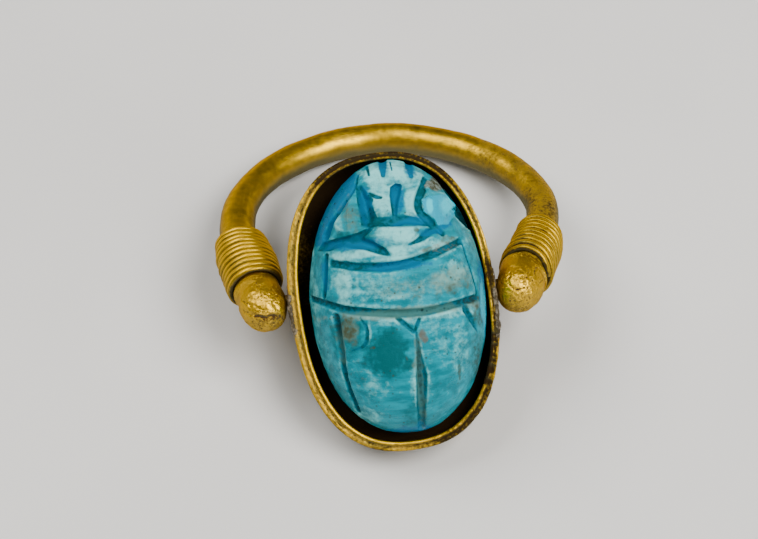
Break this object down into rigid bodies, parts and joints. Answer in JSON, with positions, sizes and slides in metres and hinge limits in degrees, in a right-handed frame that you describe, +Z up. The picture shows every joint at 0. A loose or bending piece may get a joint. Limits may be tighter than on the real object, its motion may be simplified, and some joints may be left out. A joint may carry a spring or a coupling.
{
  "type": "swivel finger ring with scarab bezel",
  "caption": "Gold finger ring: a round hoop with wire-bound, knobbed ends carries an oval box setting that swivels on pins and holds a carved blue faience scarab.",
  "frame": {"origin": "on the surface the ring lies on, under the middle of its box", "axes": "+X along the pivot line, +Y towards the back of the hoop, +Z up"},
  "size_m": [0.025, 0.0288, 0.0149],
  "materials": {
    "hoop_gold": "satin worn gold",
    "wire_gold": "satin drawn gold wire",
    "knob_gold": "crumpled bright gold with dirt in the creases",
    "pivot_gold": "dull gold",
    "crusted_gold": "gold under a grey-brown crust",
    "bezel_gold": "dull brown-tinged gold with bright edges",
    "faience": "worn turquoise-blue glaze, paler where rubbed"
  },
  "bodies": {
    "hoop": {"hoop": "hoop_gold", "wire_binding_left": "wire_gold", "wire_binding_right": "wire_gold", "knob_left": "knob_gold", "knob_right": "knob_gold", "pivot_pin_left": "pivot_gold", "pivot_pin_right": "pivot_gold"},
    "bezel": {"bezel": "bezel_gold", "pivot_collar_left": "crusted_gold", "pivot_collar_right": "crusted_gold", "scarab": "faience"}
  },
  "joints": [
    {"name": "bezel_swivel", "type": "hinge", "parent": "hoop", "child": "bezel", "pos_m": [0, -0.00431, 0.00741], "axis": [1, 0, 0], "continuous": true}
  ]
}
